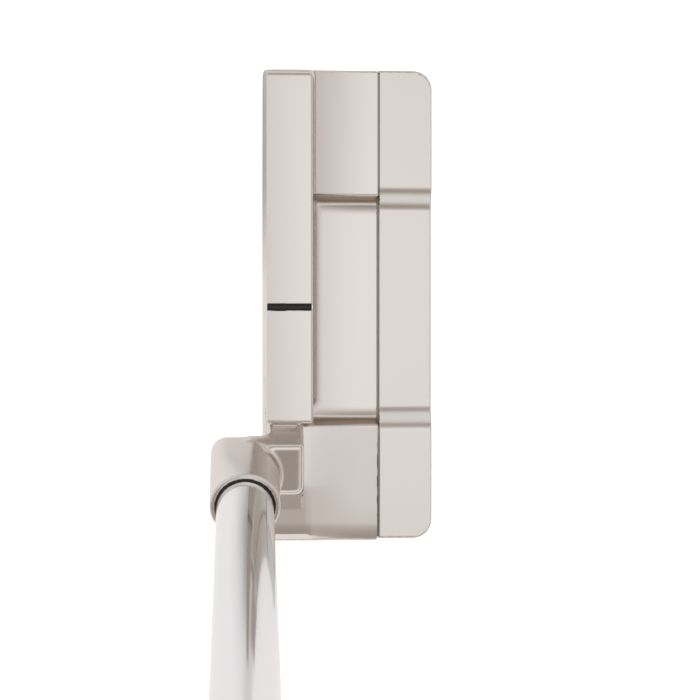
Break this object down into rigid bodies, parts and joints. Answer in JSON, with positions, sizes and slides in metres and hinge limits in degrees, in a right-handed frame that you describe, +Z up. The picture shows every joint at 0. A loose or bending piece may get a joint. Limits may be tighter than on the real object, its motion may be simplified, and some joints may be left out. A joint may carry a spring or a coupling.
{
  "type": "golf putter",
  "caption": "Wide-bodied blade putter with a plumbing neck, a milled cavity, a square aluminium back flange, removable sole weights, a chromed shaft and a pistol grip.",
  "frame": {"origin": "on the ground under the sight line, on the flat land of the sole, midway through the head's depth", "axes": "+X from the face to the back of the head, +Y from heel to toe, +Z up along the club's height"},
  "size_m": [0.0565, 0.3924, 0.8185],
  "materials": {
    "satin_steel": "satin bead-blasted stainless steel, warm grey",
    "satin_aluminium": "satin bead-blasted aluminium, warm silver",
    "dark_membrane": "thin dark damping membrane",
    "black_paint": "black paint fill",
    "weight_steel": "turned stainless steel",
    "screw_steel": "turned stainless steel",
    "polished_chrome": "bright chrome plate on steel",
    "black_adhesive": "black epoxy",
    "black_plastic": "matte black plastic",
    "plain_label": "plain silver-grey label with no marks",
    "tape": "double-sided grip tape",
    "grip_rubber": "matte black moulded rubber"
  },
  "bodies": {
    "club": {"head_body": "satin_steel", "rear_flange": "satin_aluminium", "seam_membrane": "dark_membrane", "sight_line_paint": "black_paint", "plumbing_neck": "satin_steel", "flange_screw_1": "screw_steel", "flange_screw_2": "screw_steel", "flange_screw_3": "screw_steel", "flange_screw_4": "screw_steel", "shaft": "polished_chrome", "hosel_epoxy": "black_adhesive", "shaft_tip_plug": "black_plastic", "shaft_band": "plain_label", "grip_tape": "tape", "grip": "grip_rubber", "grip_end_cap": "black_plastic"},
    "toe_weight_screw": {"toe_weight": "weight_steel"},
    "heel_weight_screw": {"heel_weight": "weight_steel"}
  },
  "joints": [
    {"name": "toe_weight_travel", "type": "slide", "parent": "club", "child": "toe_weight_screw", "axis": [0, 0, -1], "range_m": [0, 0.009]},
    {"name": "heel_weight_travel", "type": "slide", "parent": "club", "child": "heel_weight_screw", "axis": [0, 0, -1], "range_m": [0, 0.009]}
  ]
}
